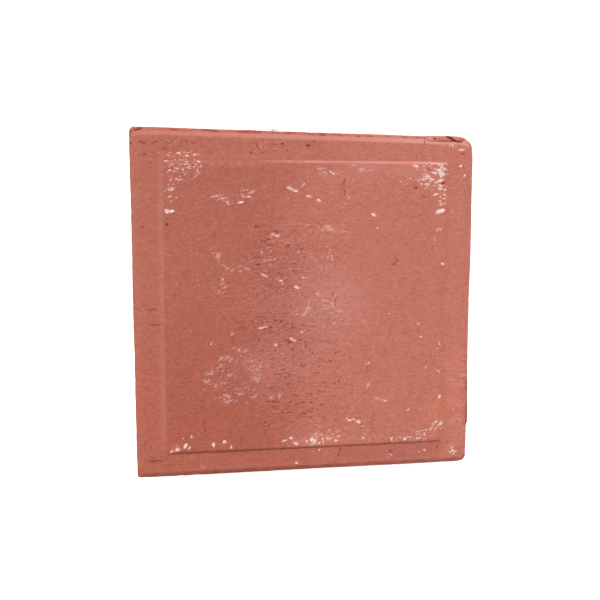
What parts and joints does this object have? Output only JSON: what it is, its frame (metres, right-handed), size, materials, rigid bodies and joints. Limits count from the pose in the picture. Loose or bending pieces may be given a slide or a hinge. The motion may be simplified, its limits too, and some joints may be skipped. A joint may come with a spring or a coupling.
{
  "type": "clay bar",
  "caption": "Square slab of brick-red detailing clay with a bevelled border and a raised centre panel, rubbed over paintwork to lift bonded grime.",
  "frame": {"origin": "middle of the underside of the slab, on the surface that it lies on", "axes": "+Z up through the thickness towards the raised panel, +Y towards the edge with the broken corner fragment, +X to the right when the panel is seen from above with +Y up"},
  "size_m": [0.1, 0.1, 0.0124],
  "materials": {
    "border_clay": "matte, fine-grained pressed clay with pits and short cracks",
    "panel_clay": "matte, paler and pinker pressed clay, crumbly in the middle",
    "back_clay": "matte, smooth pressed clay",
    "residue": "matte, pale cream dried residue"
  },
  "bodies": {
    "root": {"back_layer": "back_clay", "front_layer": "border_clay", "raised_panel": "panel_clay", "corner_fragment": "border_clay", "lifted_flake": "panel_clay", "edge_crumb": "residue", "residue_chip_upper_right": "residue", "residue_chip_upper_left": "residue", "residue_chip_lower_left": "residue", "residue_chip_lower_middle": "residue"}
  },
  "joints": []
}
